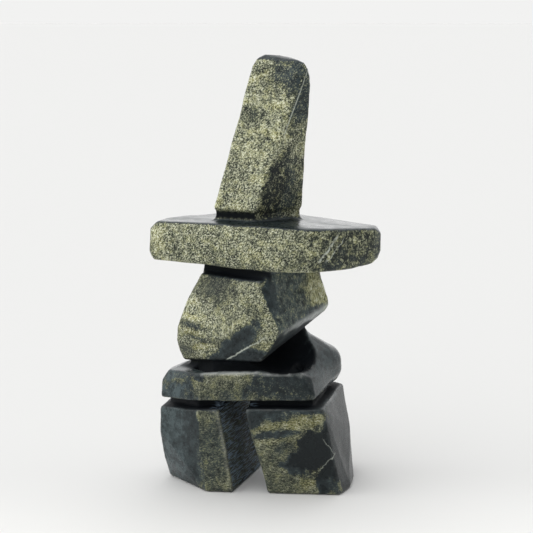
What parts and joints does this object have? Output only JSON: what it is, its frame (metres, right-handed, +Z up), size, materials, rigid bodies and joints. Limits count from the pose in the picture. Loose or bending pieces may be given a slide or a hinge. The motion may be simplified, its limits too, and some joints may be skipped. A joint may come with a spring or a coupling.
{
  "type": "carved stone inuksuk",
  "caption": "Small standing figure carved from one block of dark speckled stone: legs, hip slab, wedge body, long arm slab and tall leaning head, parted by undercut necks.",
  "frame": {"origin": "middle of the bounding box, at the height of the soles", "axes": "+Z up through the figure, +X towards the figure's side seen on the right, +Y away from its front"},
  "size_m": [0.1186, 0.0612, 0.2198],
  "materials": {
    "stone": "polished dark green serpentine with a fine yellow-green speckle"
  },
  "bodies": {
    "root": {"carved_stone": "stone"}
  },
  "joints": []
}
